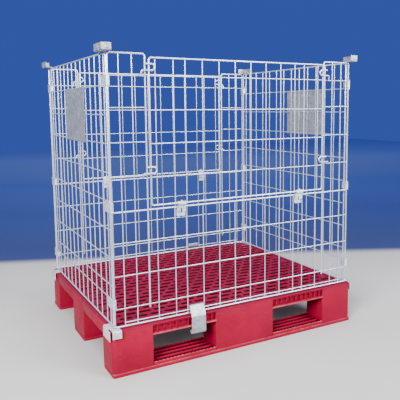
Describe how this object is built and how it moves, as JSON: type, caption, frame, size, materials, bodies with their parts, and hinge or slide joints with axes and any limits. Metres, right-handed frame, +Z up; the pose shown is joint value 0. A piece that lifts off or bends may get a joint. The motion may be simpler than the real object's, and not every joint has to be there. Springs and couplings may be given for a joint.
{
  "type": "wire mesh container",
  "caption": "Collapsible wire mesh container on a plastic pallet, with drop gates on the long sides, hold-down clamps, label plates and stacking plates at the top corners.",
  "frame": {"origin": "on the floor, under the centre of the pallet", "axes": "+Z up, +X right along the long side, -Y to the front gate"},
  "size_m": [1.218, 1.019, 1.2803],
  "materials": {
    "zinc_wire": "bright zinc plated",
    "zinc_sheet": "galvanised sheet",
    "red_plastic": "matte moulded"
  },
  "bodies": {
    "cage_and_pallet": {"front_foot_plate": "zinc_sheet", "front_left_clip_low": "zinc_sheet", "front_left_clip_mid": "zinc_sheet", "front_left_clip_top": "zinc_sheet", "front_left_foot_plate_short": "zinc_sheet", "front_left_stack_plate_long": "zinc_sheet", "front_left_stack_plate_short": "zinc_sheet", "front_panel_lower": "zinc_wire", "front_panel_upper_a": "zinc_wire", "front_panel_upper_b": "zinc_wire", "front_right_clip_low": "zinc_sheet", "front_right_clip_mid": "zinc_sheet", "front_right_clip_top": "zinc_sheet", "front_right_foot_plate_short": "zinc_sheet", "front_right_stack_plate_long": "zinc_sheet", "front_right_stack_plate_short": "zinc_sheet", "left_label_plate": "zinc_sheet", "left_panel": "zinc_wire", "pallet_deck": "red_plastic", "pallet_skid_front": "red_plastic", "pallet_skid_middle": "red_plastic", "pallet_skid_rear": "red_plastic", "rear_foot_plate": "zinc_sheet", "rear_left_clip_low": "zinc_sheet", "rear_left_clip_mid": "zinc_sheet", "rear_left_clip_top": "zinc_sheet", "rear_left_foot_plate_short": "zinc_sheet", "rear_left_stack_plate_long": "zinc_sheet", "rear_left_stack_plate_short": "zinc_sheet", "rear_panel_lower": "zinc_wire", "rear_panel_upper_a": "zinc_wire", "rear_panel_upper_b": "zinc_wire", "rear_right_clip_low": "zinc_sheet", "rear_right_clip_mid": "zinc_sheet", "rear_right_clip_top": "zinc_sheet", "rear_right_foot_plate_short": "zinc_sheet", "rear_right_stack_plate_long": "zinc_sheet", "rear_right_stack_plate_short": "zinc_sheet", "right_label_plate": "zinc_sheet", "right_panel": "zinc_wire"},
    "front_hinge_plates": {"front_hinge_plate_a": "zinc_sheet", "front_hinge_plate_b": "zinc_sheet"},
    "front_gate_leaf": {"front_gate": "zinc_wire", "front_hook_top_a": "zinc_wire", "front_hook_top_b": "zinc_wire", "front_hook_low_a": "zinc_wire", "front_hook_low_b": "zinc_wire"},
    "rear_hinge_plates": {"rear_hinge_plate_a": "zinc_sheet", "rear_hinge_plate_b": "zinc_sheet"},
    "rear_gate_leaf": {"rear_gate": "zinc_wire", "rear_hook_top_a": "zinc_wire", "rear_hook_top_b": "zinc_wire", "rear_hook_low_a": "zinc_wire", "rear_hook_low_b": "zinc_wire"},
    "front_clamp_hook": {"front_clamp": "zinc_sheet"},
    "rear_clamp_hook": {"rear_clamp": "zinc_sheet"}
  },
  "joints": [
    {"name": "front_gate_lift", "type": "slide", "parent": "cage_and_pallet", "child": "front_hinge_plates", "axis": [0, 0, 1], "range_m": [0, 0.017]},
    {"name": "front_gate_swing", "type": "hinge", "parent": "front_hinge_plates", "child": "front_gate_leaf", "pos_m": [0, -0.491, 0.6653], "axis": [1, 0, 0], "range_deg": [0, 170]},
    {"name": "rear_gate_lift", "type": "slide", "parent": "cage_and_pallet", "child": "rear_hinge_plates", "axis": [0, 0, 1], "range_m": [0, 0.017]},
    {"name": "rear_gate_swing", "type": "hinge", "parent": "rear_hinge_plates", "child": "rear_gate_leaf", "pos_m": [0, 0.491, 0.6653], "axis": [-1, 0, 0], "range_deg": [0, 170]},
    {"name": "front_clamp_swing", "type": "hinge", "parent": "cage_and_pallet", "child": "front_clamp_hook", "pos_m": [0, -0.4836, 0.2123], "axis": [-1, 0, 0], "range_deg": [0, 20]},
    {"name": "rear_clamp_swing", "type": "hinge", "parent": "cage_and_pallet", "child": "rear_clamp_hook", "pos_m": [0, 0.4836, 0.2123], "axis": [1, 0, 0], "range_deg": [0, 20]}
  ]
}
